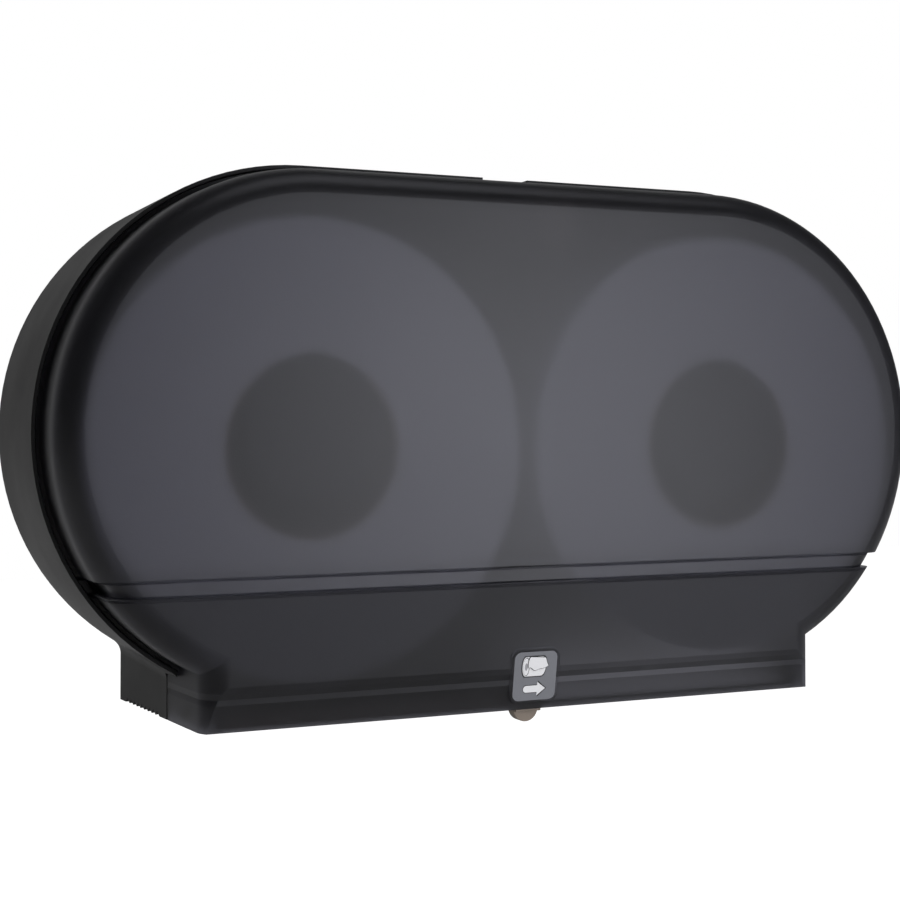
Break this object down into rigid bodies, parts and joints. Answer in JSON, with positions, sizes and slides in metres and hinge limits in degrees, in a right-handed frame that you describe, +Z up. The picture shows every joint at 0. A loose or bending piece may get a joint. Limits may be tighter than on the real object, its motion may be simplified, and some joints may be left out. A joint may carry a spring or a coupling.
{
  "type": "twin jumbo toilet roll dispenser",
  "caption": "Wall-mounted dispenser for jumbo toilet rolls side by side, with a hinged smoked cover, key latch, spindles and a sliding door over the paper exits.",
  "frame": {"origin": "on the wall face, at the centre of the four wall screw holes, level with the two spindle axes", "axes": "+X along the wall to the viewer's right, +Y into the wall, +Z up; the cover faces -Y"},
  "size_m": [0.489, 0.1238, 0.2785],
  "materials": {
    "shell_plastic": "moulded matt black",
    "smoked_plastic": "smoked translucent, fine texture",
    "frame_plastic": "moulded satin black",
    "door_plastic": "moulded grey beige",
    "latch_plastic": "moulded grey brown",
    "spindle_plastic": "moulded satin black",
    "steel": "zinc plated",
    "cardboard": "wound grey brown board",
    "tissue": "embossed white tissue",
    "label": "printed film"
  },
  "bodies": {
    "base": {"back_shell": "shell_plastic", "exit_frame": "frame_plastic", "frame_screws": "steel", "hinge_pin_left": "steel", "hinge_pin_right": "steel", "latch_bracket": "frame_plastic", "latch_screws": "steel", "latch_spring": "steel", "spindle_left": "spindle_plastic", "spindle_right": "spindle_plastic", "spindle_cap_left": "spindle_plastic", "spindle_cap_right": "spindle_plastic", "spindle_screws_left": "steel", "spindle_screws_right": "steel"},
    "cover": {"front_cover": "smoked_plastic", "instruction_label": "label"},
    "door": {"slide_door": "door_plastic"},
    "latch": {"latch_slide": "latch_plastic"},
    "roll_left": {"roll_core_left": "cardboard", "paper_roll_left": "tissue"},
    "roll_right": {"roll_core_right": "cardboard", "paper_roll_right": "tissue"}
  },
  "joints": [
    {"name": "cover_hinge", "type": "hinge", "parent": "base", "child": "cover", "pos_m": [0, -0.091, -0.137], "axis": [1, 0, 0], "range_deg": [0, 110]},
    {"name": "door_slide", "type": "slide", "parent": "base", "child": "door", "axis": [1, 0, 0], "range_m": [0, 0.152]},
    {"name": "latch_press", "type": "slide", "parent": "base", "child": "latch", "axis": [0, 0, -1], "range_m": [0, 0.0055], "stiffness_N_per_m": 250, "springref_m": -0.004, "deforming": ["latch_spring"]},
    {"name": "roll_left_spin", "type": "hinge", "parent": "base", "child": "roll_left", "pos_m": [-0.1155, -0.0665, -0.0102], "axis": [0, 1, 0], "continuous": true},
    {"name": "roll_right_spin", "type": "hinge", "parent": "base", "child": "roll_right", "pos_m": [0.1155, -0.0665, -0.0102], "axis": [0, 1, 0], "continuous": true}
  ]
}
